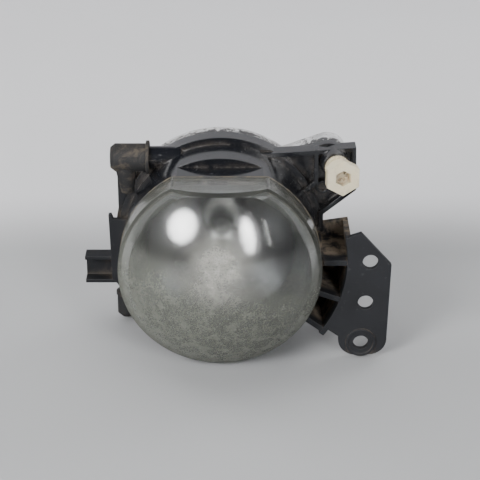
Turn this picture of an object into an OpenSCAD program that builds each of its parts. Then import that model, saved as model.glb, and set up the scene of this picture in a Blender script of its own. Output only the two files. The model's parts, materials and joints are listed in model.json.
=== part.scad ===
// Round front fog light: glass lens on a black moulded housing, a reflector
// that tilts inside it, an aiming screw and a bulb that turns in from behind.
//
// Axes: X to the right seen from the front, Y along the optical axis towards
// the back, Z up. The origin is on the optical axis, at the front end of the
// cylindrical lens rim. All sizes are in millimetres.

/* [Lens] */
// Outside diameter of the lens rim
lens_d = 90; // [84:1:100]
// Depth of the lens skirt, from the rim's front to the glue line
lens_skirt = 14; // [11:0.5:16]
// Radius of the dome
dome_r = 60; // [58:1:90]
// Thickness of the glass
glass_t = 3.2; // [2.5:0.1:4]
// Height of the flat on top of the lens above the axis, as a drop from the rim
lens_flat_drop = 5.2; // [3:0.1:8]

/* [Housing] */
// Length of the neck behind the lens skirt, up to the flange
neck_len = 28.5; // [26:0.5:36]
// Length of the flat shelf on top of the neck
shelf_len = 10.5; // [8:0.5:12]
// Step from the lens rim in to the neck
neck_step = 0.7; // [0.4:0.1:1.5]
// Width of the flange ring outside the neck
flange_w = 3.2; // [3:0.1:5]
// Length of the flange ring along the axis
flange_len = 8.5; // [7:0.5:11]
// Wall thickness of the housings
wall = 2.2; // [2:0.1:2.6]
// Length of the bright rim of the rear housing
rim_len = 6; // [5:0.5:8]

/* [Mounting plate] */
// Distance from one plate hole to the next
hole_pitch = 20.2; // [18:0.1:22]
// Diameter of the plate holes
hole_d = 7; // [5:0.1:8]
// Lean of the row of holes away from vertical, in degrees
hole_lean = 4.5; // [0:0.5:6]
// Thickness of the plate and its ribs
plate_t = 2.5; // [2:0.1:3]
// Distance of the plate's front face behind the rim's front
plate_y = 10; // [8:0.5:14]

/* [Aiming screw] */
// Width across the flats of the screw's head
head_af = 14.3; // [12:0.1:15]
// Thickness of the head
head_t = 5; // [4:0.5:7]
// Diameter of the plain shank
shank_d = 9; // [8:0.1:9.4]
// Diameter over the threads
thread_d = 5; // [4.4:0.1:5.4]
// Sideways lean of the screw, in degrees
screw_yaw = 8; // [6:0.5:9]

/* [Reflector] */
// Focal length of the bowl
focal = 9.3; // [8.8:0.1:9.8]
// Radius of the bowl's front edge
bowl_r = 37.2; // [35:0.2:38]
// Diameter of the pivot pins
pin_d = 4; // [3:0.1:5]

/* [Bulb] */
// Bore of the reflector's neck, which the bulb holder fits
bulb_bore = 21; // [20:0.1:22]
// Diameter of the bulb's glass
bulb_d = 12; // [10:0.5:13]

/* [Vent] */
// Outside diameter of the vent tube on the housing
vent_d = 10.4; // [9:0.1:11]
// Thickness of the rubber of the elbow
rubber_t = 1.4; // [1:0.1:1.8]

/* [Clearances] */
// Radial play of a running fit
run = 0.05; // [0.03:0.01:0.08]
// Gap between neighbouring mouldings
gap = 0.3; // [0.2:0.05:0.5]

/* [Hidden] */
$fn = 96;
far = 200;

// Stations along the axis
rim_r = lens_d / 2;
bead_t = 0.5;
neck_front = lens_skirt;
shelf_back = neck_front + shelf_len;
flange_front = neck_front + neck_len;
flange_back = flange_front + flange_len;
rim_back = flange_back + rim_len;

// Radii of the housings
neck_r = rim_r - neck_step;
bore_r = neck_r - wall;
flange_r = neck_r + flange_w;
lens_flat = rim_r - lens_flat_drop;
shelf_flat = lens_flat + 0.2;

// Lens
edge_bevel = 1.5;
dome_edge_r = rim_r - edge_bevel;
dome_centre = -edge_bevel + sqrt(pow(dome_r, 2) - pow(dome_edge_r, 2));
dome_top = dome_centre - dome_r;
skirt_in_r = rim_r - glass_t;

// Tongue of the neck inside the lens skirt
tongue_t = 1.2;
tongue_len = 3.5;
tongue_r = skirt_in_r - gap;
tongue_flat = lens_flat - glass_t - gap;
tongue_front = neck_front - tongue_len;

// Bezel inside the lens
bezel_t = 1.2;
bezel_r = tongue_r - tongue_t - 0.05;
bezel_flat = tongue_flat - tongue_t;
bezel_front = glass_t + 0.4;
bezel_back = shelf_back + 3.5;
bezel_back_r = bowl_r - 2.4;

// Stations of the rear housing's collar
collar_front = rim_back + 20;
collar_back = collar_front + 7;

// Reflector
bowl_front = shelf_back + wall + 2.8;
vertex_y = bowl_front + pow(bowl_r, 2) / (4 * focal);
bowl_steps = 14;
bowl_shell = 3;
neck_in_r = bulb_bore / 2;
sleeve_wall = 3.5;
sleeve_r = neck_in_r + sleeve_wall;
sleeve_back = collar_back;
lip_w = 1.8;

// Pivots of the reflector
pivot_y = flange_back - 5;
pin_r = pin_d / 2;
boss_r = pin_r + 2.5;
boss_in = bore_r - 5.6;
pin_in = bowl_r - 6.7;
pin_out = bore_r - 1.1;

// Aiming screw, measured along its own axis from the head's front face
screw_x = rim_r + 9.6;
screw_y = flange_front - 22.5;
screw_z = rim_r - 8.6;
shank_r = shank_d / 2;
thread_r = thread_d / 2;
tube_front = 15;
tube_r = shank_r + 2;
collar_t = 1.8;
collar_r_screw = shank_r + 0.9;
nut_len = 3.5;
nut_r = 4.4;
nut_flat = 3.6;
nut_y = flange_back + 4.6;
nut_at = (nut_y - screw_y) / cos(screw_yaw);
nut_x = screw_x - nut_at * sin(screw_yaw);
screw_end = nut_at + 5.25;
cheek_gap = 0.7;
cheek_t = 1;
oring_w = 2.4;
oring_at = 20;
clip_t = 0.8;
clip_r = shank_r + 0.3;

// Ear of the housing, round the nut
ear_x = rim_r + 4.3;
ear_z = rim_r - 10.6;
ear_r = clip_r + 4.2;
ear_back = nut_y + 7.6;
ear_wall = 1.6;
ear_bevel = 1.6;
panel_front = flange_back - 5;
tube_back = (panel_front + ear_wall - screw_y) / cos(screw_yaw) + clip_r * tan(screw_yaw);
clip_at = tube_back + 0.15;

// Bracket for the screw, in front of the ear
bracket_front = flange_front - 2.5;
bracket_wall = 2;

// Rear housing
fixing_r = 1.5;
collar_r = 22;
collar_in_r = 19;

// Seal between the reflector's sleeve and the collar: part of a sphere round
// the pivots, so that it stays in place while the reflector tilts
seal_r = sqrt(pow(collar_front - 2 - pivot_y, 2) + pow(collar_in_r, 2)) - gap;
seal_t = 1.5;
seal_edge = collar_in_r + 3.4;
screw_circle_r = bore_r + fixing_r + 0.6;
screw_angles = [100, 215, 325];
fixing_head_r = 2.4;
fixing_head_t = 1.8;

// Mounting bracket
arc_r = rim_r + 14.3;
bracket_in = rim_r + 1.3;
plate_back = plate_y + plate_t;
hole_mid = [rim_r + 20.5, -19.7];
hole_r = hole_d / 2;

// Locating tab and the channel on its back
tab_x = -rim_r - 5;
channel_d = 8;
channel_h = 13.5;
channel_z = -25.2;

// Vent
vent_y = flange_front + 1.5;
vent_z = rim_r - 7.5;
vent_r = vent_d / 2;
nipple_r = vent_r - rubber_t;
barrel_r = vent_r + 1.2;
elbow_end = 12.4 - rim_r;
elbow_tip = -rim_r - 5.3;
duct_out = -flange_r - 0.2;
duct_in = duct_out + 8;
foot_x = duct_out + 2;
foot_r = 4.4;
duct_front = flange_front + 3.5;
duct_back = flange_front + 12.5;
duct_top = vent_z - 7;
foot_top = -33;
foot_bottom = -46.2;

// Bulb, its bayonet tabs and its plug socket
tab_angles = [90, 210, 330];
tab_y0 = collar_front - 3;
tab_y1 = collar_front;
tab_r = neck_in_r + 1.5;
unlock_turn = 45;
holder_r = neck_in_r - 0.2;
holder_front = tab_y0 - 8;
glass_back = tab_y0 - 12;
bulb_r = bulb_d / 2;
bulb_round_y = glass_back - 12;
holder_flange_back = sleeve_back + 3;
socket_wall = 1.6;
socket_x = 9;
socket_y0 = holder_flange_back + 1;
socket_y1 = socket_y0 + 11;
socket_bottom = -32;

// Outside of the rear housing behind its flange, points [radius, y], and its wall
rear_curve = [for (p = [[0.4, 0], [1.1, 4], [4.1, 10], [9.1, 15], [15.1, 18.4]]) [bore_r - p[0], rim_back + p[1]]];
rear_wall = 2.3;

// A flat outline in X and Z, drawn out from y0 to y1
module slab(y0, y1) {
  translate([0, y1, 0]) rotate([90, 0, 0]) linear_extrude(height = y1 - y0) children();
}

// A solid turned round the optical axis from points [radius, y]
module turned(points) {
  rotate([-90, 0, 0]) rotate_extrude() polygon(points);
}

// A disc with a flat on top
module flat_disc(r, flat) {
  intersection() {
    circle(r);
    translate([-r, -r]) square([2 * r, r + flat]);
  }
}

// Everything below a height
module below(z) {
  translate([-far / 2, -far / 2, z - far]) cube([far, far, far]);
}

// A round bar along X
module bar_x(x0, x1, r) {
  translate([x0, 0, 0]) rotate([0, 90, 0]) cylinder(r = r, h = x1 - x0);
}

// The aiming screw's own frame: Z runs back along the screw from its head
module on_screw() {
  translate([screw_x, screw_y, screw_z]) rotate([0, 0, screw_yaw]) rotate([-90, 0, 0]) children();
}

// A flat ring between two stations, in the frame it is called in
module ring(r0, r1, z0, z1) {
  translate([0, 0, z0]) difference() {
    cylinder(r = r1, h = z1 - z0);
    translate([0, 0, -1]) cylinder(r = r0, h = z1 - z0 + 2);
  }
}

// ---------------------------------------------------------------- lens

module dome(r) {
  intersection() {
    translate([0, dome_centre, 0]) sphere(r = r);
    slab(dome_top - 1, -edge_bevel) circle(rim_r);
  }
}

module lens() {
  hollow_r = dome_r - glass_t;
  hollow_edge = sqrt(pow(hollow_r, 2) - pow(dome_centre + edge_bevel, 2));
  color([0.85, 0.88, 0.86, 0.35]) difference() {
    intersection() {
      union() {
        dome(dome_r);
        turned([[0, -edge_bevel], [dome_edge_r, -edge_bevel], [rim_r, 0],
          [rim_r, lens_skirt - bead_t], [0, lens_skirt - bead_t]]);
      }
      below(lens_flat);
    }
    intersection() {
      union() {
        dome(hollow_r);
        turned([[0, -edge_bevel], [hollow_edge, -edge_bevel], [skirt_in_r, glass_t],
          [skirt_in_r, lens_skirt], [0, lens_skirt]]);
      }
      below(lens_flat - glass_t);
    }
  }
}

// Glue bead between the glass and the neck
module lens_seal() {
  color("#8d7a4f") slab(lens_skirt - bead_t, neck_front) difference() {
    flat_disc(rim_r + 0.15, lens_flat + 0.15);
    flat_disc(tongue_r, tongue_flat);
  }
}

module bezel_body(grow, y0, y1) {
  intersection() {
    turned([[0, y0], [bezel_r + 1 - grow, y0], [bezel_r - grow, tongue_front - 1],
      [bezel_r - grow, neck_front + gap], [bezel_back_r - grow, y1], [0, y1]]);
    below(bezel_flat - grow);
  }
}

module inner_bezel() {
  color("#d2d4d2") difference() {
    bezel_body(0, bezel_front, bezel_back);
    bezel_body(bezel_t, bezel_front - 1, bezel_back + 1);
  }
}

// ---------------------------------------------------------------- housing

// Outline of the ear that holds the aiming nut
module ear_outline(inset) {
  hull() {
    translate([ear_x, ear_z]) circle(ear_r - inset, $fn = 48);
    translate([31, 31]) circle(6 - inset, $fn = 32);
    translate([41, 15]) circle(6 - inset, $fn = 32);
    translate([20, 12]) circle(8 - inset, $fn = 32);
  }
}

// Outline of the open-fronted box that carries the aiming screw
module screw_box_outline() {
  polygon([[18, screw_z + 4.1], [screw_x - 12, screw_z + 5.7], [screw_x + 6.9, screw_z + 7.2],
    [screw_x + 7.4, screw_z - 13.4], [flange_r - 0.3, 11], [flange_r - 0.3, 2], [30, 4]]);
}

module screw_box() {
  slab(panel_front, panel_front + bracket_wall) screw_box_outline();
  slab(bracket_front, panel_front) {
    difference() {
      screw_box_outline();
      offset(delta = -bracket_wall) screw_box_outline();
    }
    translate([42.6, 26]) square([bracket_wall, 16.5]);
    polygon([[44.6, 26.2], [42.6, 27], [37, 22.4], [38.6, 20.6]]);
  }
  translate([46.8, panel_front, 23]) rotate([90, 0, 0]) ring(2.1, 3.1, 0, 2.5);
}

module pivot_bosses() {
  for (side = [0, 1]) mirror([side, 0, 0]) translate([0, pivot_y, 0])
    bar_x(boss_in, bore_r + 1, boss_r);
}

module vent_tube() {
  translate([0, vent_y, vent_z]) {
    bar_x(elbow_end, -18, vent_r);
    bar_x(elbow_tip + 6, elbow_end + 1, nipple_r);
  }
}

module neck_hollow() {
  slab(tongue_front - 1, neck_front + wall + 0.01) flat_disc(bezel_r, bezel_flat);
  slab(neck_front + wall, shelf_back + wall) flat_disc(bore_r, shelf_flat - wall);
  slab(shelf_back + wall - 0.01, flange_back + 1) circle(bore_r);
}

module fixing_holes(r, y0, y1) {
  for (a = screw_angles) translate([screw_circle_r * cos(a), y1, screw_circle_r * sin(a)])
    rotate([90, 0, 0]) cylinder(r = r, h = y1 - y0);
}

module front_housing() {
  color("#1a1c20") difference() {
    union() {
      difference() {
        union() {
          slab(tongue_front, neck_front + 1) flat_disc(tongue_r, tongue_flat);
          slab(neck_front, shelf_back) flat_disc(neck_r, shelf_flat);
          slab(shelf_back, flange_front) circle(neck_r);
          slab(flange_front, flange_back) circle(flange_r);
          slab(panel_front, flange_back) ear_outline(0);
          screw_box();
          vent_tube();
        }
        neck_hollow();
        slab(panel_front + ear_wall, flange_back + 1) ear_outline(ear_wall);
      }
      pivot_bosses();
      on_screw() translate([0, 0, tube_front]) cylinder(r = tube_r, h = tube_back - tube_front);
    }
    on_screw() cylinder(r = shank_r + run, h = tube_back + 5);
    for (side = [0, 1]) mirror([side, 0, 0]) translate([0, pivot_y, 0]) bar_x(boss_in - 1, pin_out, pin_r);
    translate([0, vent_y, vent_z]) bar_x(elbow_tip, -26, nipple_r - 1.4);
    fixing_holes(fixing_r, flange_back - 7, flange_back + 1);
    gasket_groove();
  }
}

// Groove that runs round the flange and the ear
module gasket_groove() {
  slab(flange_back - 0.8, flange_back + 0.8) difference() {
    union() {
      circle(flange_r - 0.4);
      ear_outline(0.4);
    }
    circle(flange_r - 1.2);
    ear_outline(1.2);
  }
}

module housing_gasket() {
  color("#3b3b3b") gasket_groove();
}

// Rear housing: bright rim, ear, bowl and collar round the bulb holder
module rear_body() {
  turned(concat([[0, flange_back], [flange_r, flange_back], [flange_r, rim_back]], rear_curve,
    [[collar_r, collar_front], [collar_r, collar_back], [0, collar_back]]));
}

// The same curve, moved in along its slope by the wall
module rear_hollow() {
  inner = [for (i = [0 : len(rear_curve) - 1])
    let (slope = atan2(rear_curve[i][1] - rim_back + 6, rear_curve[i][0]))
    [rear_curve[i][0] - rear_wall * cos(slope), rear_curve[i][1] - rear_wall * sin(slope)]];
  turned(concat([[0, flange_back - 1], [bore_r, flange_back - 1], [bore_r, rim_back - rear_wall]], inner,
    [[collar_in_r, collar_front - rear_wall], [collar_in_r, collar_back + 1], [0, collar_back + 1]]));
}

module rear_housing() {
  color("#c9c9c6") difference() {
    union() {
      rear_body();
      slab(flange_back, ear_back - ear_bevel) ear_outline(0);
      slab(ear_back - ear_bevel - 0.01, ear_back - ear_bevel / 2) ear_outline(ear_bevel / 3);
      slab(ear_back - ear_bevel / 2 - 0.01, ear_back) ear_outline(ear_bevel);
      turned([[collar_r - 1, collar_back - 4], [collar_r + 0.8, collar_back - 2.6],
        [collar_r - 1, collar_back - 1.2]]);
    }
    rear_hollow();
    slab(flange_back - 1, ear_back - ear_wall) ear_outline(ear_wall);
    fixing_holes(fixing_r, flange_back - 1, rim_back + 1);
    gasket_groove();
  }
}

// Screws that hold the two housings together, from behind
module housing_screws() {
  color("#a9aaac") difference() {
    union() {
      fixing_holes(fixing_r, flange_back - 6.5, rim_back);
      fixing_holes(fixing_head_r, rim_back, rim_back + fixing_head_t);
    }
    for (a = screw_angles) translate([screw_circle_r * cos(a), rim_back + fixing_head_t, screw_circle_r * sin(a)])
      for (turn = [0, 90]) rotate([0, turn, 0]) cube([3, 1.6, 0.7], center = true);
  }
}

// ---------------------------------------------------------------- mounting

// Place of one of the plate's holes, -1 for the lowest to 1 for the highest
function hole_at(i) = hole_mid + i * hole_pitch * [sin(hole_lean), cos(hole_lean)];

module hole_row(r) {
  for (i = [-1, 0, 1]) translate(hole_at(i)) circle(r);
}

module plate_outline() {
  difference() {
    union() {
      translate([hole_mid[0], 0]) polygon([[-8, 12.6], [-2.9, 14.4], [11, -1], [10.5, -22],
        [10.1, -38.5], [-9.5, -38.5], [-16.8, -33.4], [-21.1, -32], [-24.5, -27.3], [-17.5, -22]]);
      hull() {
        translate([hole_mid[0] + 2.3, -38.2]) circle(7.9, $fn = 32);
        translate([hole_mid[0] - 4, -38.4]) circle(7.9, $fn = 32);
      }
    }
    circle(arc_r - plate_t);
  }
}

// Sector between two angles, used to trim rings and walls
module sector(a0, a1) {
  polygon([[0, 0], [far * cos(a0), far * sin(a0)], [far * cos((a0 + a1) / 2), far * sin((a0 + a1) / 2)],
    [far * cos(a1), far * sin(a1)]]);
}

module ring_sector(r0, r1, a0, a1) {
  intersection() {
    difference() {
      circle(r1);
      circle(r0);
    }
    sector(a0, a1);
  }
}

module radial_rib(a) {
  rotate([0, 0, a]) translate([neck_r, -plate_t / 2]) square([arc_r - plate_t / 2 - neck_r, plate_t]);
}

module mount_bracket() {
  low_boss = hole_at(-1);
  color("#181a1e") difference() {
    union() {
      slab(plate_y, plate_back) plate_outline();
      difference() {
        slab(plate_y, flange_front) ring_sector(arc_r - plate_t, arc_r, -38, 13);
        translate([30, plate_y - 1, 12.1]) rotate([-7, 0, 0]) cube([40, 60, 20]);
      }
      slab(plate_y + 2, flange_front) ring_sector(neck_r, neck_r + 1.9, -38, 3);
      slab(flange_front - plate_t, flange_front) ring_sector(neck_r, arc_r, -38, 8.4);
      slab(plate_y + 0.5, flange_front) {
        radial_rib(-0.4);
        radial_rib(-19);
        radial_rib(-36);
      }
      translate([low_boss[0], plate_y, low_boss[1]]) rotate([90, 0, 0]) ring(hole_r, 6.8, 0, 0.8);
    }
    slab(plate_y - 3, plate_back + 1) hole_row(hole_r);
    translate([low_boss[0], plate_y - 0.4, low_boss[1]]) rotate([90, 0, 0]) cylinder(r = 5.6, h = 2);
    slab(plate_y - 1, neck_front + 1) circle(bracket_in);
    slab(bracket_front, flange_front + 1) screw_box_outline();
  }
}

// Upright tab and open channel on the left, which locate the lamp
module locating_tab() {
  tab_back = flange_front;
  color("#16181b") translate([tab_x, 0, 0]) union() {
    slab(tab_back - 2.6, tab_back) difference() {
      polygon([[-2, 10.6], [-0.8, 10.8], [0.2, 8.4], [10, 7.8], [10, -27.2], [2.8, -27.2], [-1.2, -21]]);
      translate([-tab_x, 0]) circle(neck_r);
    }
    slab(tab_back, tab_back + channel_d) {
      for (z = [channel_z, channel_z + channel_h - 1.7]) translate([-14, z]) square([15, 1.7]);
      translate([-1.4, channel_z]) square([2.4, channel_h]);
    }
    slab(tab_back + channel_d - 1.6, tab_back + channel_d) translate([-14, channel_z]) square([15, channel_h]);
  }
}

// ---------------------------------------------------------------- vent

// Leg of the elbow, down to its open end
module elbow_leg(grow) {
  translate([elbow_tip + 6.7, vent_y, vent_z - 4]) rotate([180, -4, 0])
    cylinder(r1 = 5 + grow, r2 = 3.2 + grow, h = 12.6 + grow);
}

module elbow_barrel(grow) {
  translate([0, vent_y, vent_z]) bar_x(elbow_tip + 2, elbow_end, barrel_r + grow);
}

module vent_elbow() {
  color("#3a3733") difference() {
    union() {
      elbow_barrel(0);
      elbow_leg(0);
      translate([0, vent_y, vent_z]) {
        bar_x(elbow_end - 1.4, elbow_end, barrel_r + 1.3);
        translate([elbow_tip + 2.01, 0, 0]) rotate([0, -90, 0])
          cylinder(r1 = barrel_r, r2 = barrel_r - 1.6, h = 2);
      }
    }
    translate([0, vent_y, vent_z]) bar_x(elbow_tip + 5.9, elbow_end + 1, nipple_r);
    slab(plate_y, flange_front) circle(neck_r);
    slab(flange_front - 0.01, rim_back) circle(flange_r);
  }
}

// Channel that runs down the side of the housing, from the elbow to the foot
module vent_duct() {
  color("#5d564c") difference() {
    union() {
      translate([duct_out, duct_front, foot_top])
        cube([duct_in - duct_out, duct_back - duct_front, duct_top - foot_top]);
      slab(duct_front, duct_back) ring_sector(flange_r - 1, flange_r + 1.6, 155, 205);
    }
    slab(duct_front - 1, duct_back + 1) circle(flange_r);
    elbow_barrel(gap);
    elbow_leg(gap);
    slab(duct_front - 1, flange_front + channel_d + gap)
      translate([tab_x - 2, channel_z - gap]) square([3 + gap, channel_h + 2 * gap]);
  }
}

module vent_foot() {
  foot_y = (duct_front + duct_back) / 2;
  color("#4a4540") difference() {
    translate([foot_x, foot_y, 0]) union() {
      translate([0, 0, foot_bottom + 2]) cylinder(r = foot_r, h = foot_top - foot_bottom - 2);
      translate([0, 0, foot_bottom]) cylinder(r1 = foot_r - 2, r2 = foot_r, h = 2);
      translate([0, 0, foot_top - 1.6]) cylinder(r = foot_r + 0.4, h = 1.6);
    }
    translate([foot_x, foot_y, foot_bottom - 1]) cylinder(r = 1.6, h = 8);
  }
}

// ---------------------------------------------------------------- rear seal

module rear_seal() {
  color("#26272a") intersection() {
    translate([0, pivot_y, 0]) difference() {
      sphere(r = seal_r);
      sphere(r = seal_r - seal_t);
    }
    slab(pivot_y, collar_back) difference() {
      circle(seal_edge);
      circle(sleeve_r);
    }
  }
}

// Spring ring that holds the seal on the sleeve
module seal_ring() {
  ring_y = pivot_y + sqrt(pow(seal_r, 2) - pow(sleeve_r, 2));
  color("#9b9da0") slab(ring_y, ring_y + 1.5) difference() {
    circle(sleeve_r + 1.4);
    circle(sleeve_r);
  }
}

// ---------------------------------------------------------------- aiming screw

module adjuster_screw() {
  color("#e9e3cf") on_screw() difference() {
    union() {
      rotate([0, 0, 30]) cylinder(d = head_af / cos(30), h = head_t, $fn = 6);
      translate([0, 0, head_t - 0.5]) cylinder(r = shank_r, h = clip_at - head_t + 0.5);
      translate([0, 0, tube_front - collar_t - 0.1]) cylinder(r = collar_r_screw, h = collar_t);
      translate([0, 0, clip_at - 0.1]) cylinder(r = thread_r, h = screw_end - clip_at + 0.1);
    }
    translate([0, 0, -1]) rotate([0, 0, 30]) cylinder(d = 6.5 / cos(30), h = 4.4, $fn = 6);
    for (turn = [0, 60, 120]) rotate([0, 0, turn]) translate([-2.6, -0.6, 0]) cube([5.2, 1.2, 4.2]);
    ring(shank_r - 1.2, shank_r + 1, oring_at, oring_at + oring_w);
  }
}

module adjuster_oring() {
  color("#202020") on_screw() ring(shank_r - 1.2, shank_r + run / 2, oring_at + 0.1, oring_at + oring_w - 0.1);
}

module adjuster_clip() {
  color("#b0b2b4") on_screw() difference() {
    ring(thread_r, clip_r, clip_at, clip_at + clip_t);
    translate([-thread_r * 0.7, 0, clip_at - 1]) cube([thread_r * 1.4, clip_r + 1, clip_t + 2]);
  }
}

// Nut that the screw drives along its thread. Its two flats keep it from turning.
module adjuster_nut() {
  color("#ece7d8") on_screw() translate([0, 0, nut_at]) difference() {
    intersection() {
      sphere(r = nut_r);
      cube([2 * nut_flat, 2 * nut_r, nut_len], center = true);
    }
    translate([0, 0, -nut_len]) cylinder(r = thread_r + run, h = 2 * nut_len);
  }
}

// ---------------------------------------------------------------- reflector

function bowl_y(r) = vertex_y - r * r / (4 * focal);
bowl_curve = [for (i = [0 : bowl_steps]) let (r = neck_in_r + (bowl_r - neck_in_r) * i / bowl_steps) [r, bowl_y(r)]];
shell_curve = [for (i = [0 : bowl_steps]) let (r = neck_in_r + (bowl_r - neck_in_r) * i / bowl_steps) [r, bowl_y(r) + bowl_shell]];

module bowl_outside() {
  turned(concat([[0, bowl_front]], [[bowl_r + lip_w, bowl_front], [bowl_r + lip_w, bowl_front + 1.6]],
    [for (i = [bowl_steps : -1 : 0]) shell_curve[i]], [[0, shell_curve[0][1]]]));
}

module bowl_inside() {
  turned(concat([[0, bowl_front - 1], [bowl_r, bowl_front - 1]],
    [for (i = [bowl_steps : -1 : 0]) bowl_curve[i]], [[0, bowl_curve[0][1]]]));
}

// Arm from the bowl to the nut: two plates push the nut both ways, and two
// cheeks on its flats keep it from turning
module fork() {
  nut_half = nut_len / 2 * cos(screw_yaw) + sqrt(pow(nut_r, 2) - pow(nut_len / 2, 2)) * sin(screw_yaw);
  front_y = nut_y - nut_half - 0.5;
  back_y = nut_y + nut_half + 0.5;
  fork_t = 1.2;
  plate_r = nut_r + 0.1;
  bridge = [37.5, 29.5];
  for (place = [[front_y - fork_t, [19, 13], 4.6], [back_y, bridge, 3]])
    slab(place[0], place[0] + fork_t) hull() {
      translate(place[1]) circle(place[2], $fn = 32);
      translate([nut_x, screw_z]) circle(plate_r, $fn = 32);
    }
  slab(front_y - fork_t, back_y + fork_t) translate(bridge) circle(3, $fn = 32);
  for (x = [-nut_flat - cheek_gap - cheek_t, nut_flat + cheek_gap])
    slab(front_y - 0.1, back_y + 0.1) translate([nut_x + x, screw_z - 1.6]) square([cheek_t, 3.2]);
}

module reflector() {
  color("#d8dad8") difference() {
    union() {
      bowl_outside();
      slab(bowl_y(neck_in_r) - 4, sleeve_back) circle(sleeve_r);
      for (side = [0, 1]) mirror([side, 0, 0]) translate([0, pivot_y, 0])
        bar_x(27, boss_in - gap, boss_r - 0.7);
      fork();
    }
    bowl_inside();
    slab(bowl_front, sleeve_back + 1) circle(neck_in_r);
    for (side = [0, 1]) mirror([side, 0, 0]) translate([0, pivot_y, 0])
      bar_x(pin_in - gap, boss_in, pin_r + run);
    slab(nut_y - far / 8, nut_y + far / 8) translate([nut_x, screw_z]) circle(thread_r + 1.4);
    bayonet_groove();
  }
}

// Groove and entry slots for the bulb holder's three lugs
module bayonet_groove() {
  slab(tab_y0 - gap, tab_y1 + gap) circle(tab_r + 0.2);
  for (a = tab_angles) slab(tab_y0, sleeve_back + 1) rotate([0, 0, a + unlock_turn])
    translate([0, -3.4]) square([tab_r + 0.2, 6.8]);
}

module pivot_pin(side) {
  color("#a8abae") mirror([side, 0, 0]) translate([0, pivot_y, 0]) bar_x(pin_in, pin_out, pin_r);
}

module pivot_pin_left() {
  pivot_pin(1);
}

module pivot_pin_right() {
  pivot_pin(0);
}

// ---------------------------------------------------------------- bulb

module bulb_shape(r, y_end) {
  translate([0, bulb_round_y, 0]) sphere(r = r);
  slab(bulb_round_y, y_end) circle(r);
}

module bulb_glass() {
  color([0.9, 0.9, 0.9, 0.4]) difference() {
    union() {
      bulb_shape(bulb_r, glass_back);
    }
    bulb_shape(bulb_r - 1, glass_back - 2.5);
  }
}

module bulb_filament() {
  color("#8a8a88") union() {
    translate([0, glass_back - 5, 0]) bar_x(-2.6, 2.6, 0.7);
    for (x = [-2.4, 2.4]) translate([x, glass_back - 2.5, 0]) rotate([90, 0, 0]) cylinder(r = 0.35, h = 2.8, $fn = 16);
  }
}

module bulb_collar() {
  color("#b9bcc0") turned([[0, glass_back], [bulb_r + 1.2, glass_back], [bulb_r + 1.2, holder_front - 2],
    [bulb_r + 2.6, holder_front - 1.4], [bulb_r + 2.6, holder_front], [0, holder_front]]);
}

module bulb_base() {
  color("#23262a") difference() {
    union() {
      slab(holder_front, sleeve_back + 0.3) circle(holder_r);
      slab(tab_y0, tab_y1) intersection() {
        circle(tab_r);
        for (a = tab_angles) rotate([0, 0, a]) translate([0, -3]) square([tab_r, 6]);
      }
      slab(sleeve_back + 0.3, holder_flange_back) circle(sleeve_r + 1);
      slab(holder_flange_back, socket_y1) hull() {
        circle(9, $fn = 32);
        translate([-socket_x, -14]) square([2 * socket_x, 4]);
      }
      translate([-socket_x, socket_y0, socket_bottom]) cube([2 * socket_x, socket_y1 - socket_y0, 24]);
      translate([-2.5, socket_y1, socket_bottom + 4]) cube([5, 1.6, 6]);
    }
    translate([-socket_x + socket_wall, socket_y0 + socket_wall, socket_bottom - 1])
      cube([2 * (socket_x - socket_wall), socket_y1 - socket_y0 - 2 * socket_wall, 18]);
    slab(tab_y1 + 2, tab_y1 + 4.4) difference() {
      circle(holder_r + 1);
      circle(holder_r - 1.5);
    }
  }
}

module bulb_oring() {
  color("#b4532a") slab(tab_y1 + 2.1, tab_y1 + 4.3) difference() {
    circle(neck_in_r - run);
    circle(holder_r - 1.5);
  }
}

module bulb_terminals() {
  color("#c8b273") for (x = [-3.6, 3.6])
    translate([x - 1.2, (socket_y0 + socket_y1) / 2 - 0.4, socket_bottom + 5]) cube([2.4, 0.8, 12]);
}

front_housing();
mount_bracket();
locating_tab();
lens();
lens_seal();
inner_bezel();
rear_housing();
housing_gasket();
housing_screws();
vent_elbow();
vent_duct();
vent_foot();
rear_seal();
seal_ring();
adjuster_screw();
adjuster_oring();
adjuster_clip();
adjuster_nut();
reflector();
pivot_pin_left();
pivot_pin_right();
bulb_glass();
bulb_filament();
bulb_collar();
bulb_base();
bulb_oring();
bulb_terminals();
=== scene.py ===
"""Fog light: finishes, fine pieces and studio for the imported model."""

import json
import math

import bmesh
import bpy
from bpy.props import FloatProperty, FloatVectorProperty, IntProperty, PointerProperty
from mathutils import Matrix, Vector


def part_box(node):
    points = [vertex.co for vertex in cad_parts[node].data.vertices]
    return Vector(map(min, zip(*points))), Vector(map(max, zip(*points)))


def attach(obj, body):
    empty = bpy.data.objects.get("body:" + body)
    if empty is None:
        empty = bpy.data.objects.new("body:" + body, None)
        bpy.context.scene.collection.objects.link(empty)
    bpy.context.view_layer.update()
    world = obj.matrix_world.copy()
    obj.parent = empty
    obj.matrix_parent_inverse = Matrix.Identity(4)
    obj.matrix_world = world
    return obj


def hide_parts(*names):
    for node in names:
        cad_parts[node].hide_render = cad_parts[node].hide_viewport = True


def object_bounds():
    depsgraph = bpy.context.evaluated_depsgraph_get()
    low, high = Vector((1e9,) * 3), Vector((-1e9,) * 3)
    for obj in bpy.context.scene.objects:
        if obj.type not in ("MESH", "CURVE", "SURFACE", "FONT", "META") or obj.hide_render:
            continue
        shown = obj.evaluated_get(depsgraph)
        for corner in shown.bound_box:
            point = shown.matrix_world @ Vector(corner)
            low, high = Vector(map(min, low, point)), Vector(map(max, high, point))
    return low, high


bl_info = {
    "name": "Fog light finishes",
    "version": (1, 0, 0),
    "blender": (4, 5, 0),
    "location": "View3D > Sidebar > Fog light",
    "description": "Materials, fine pieces and a plain studio for a round fog light",
    "category": "Object",
}

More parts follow.
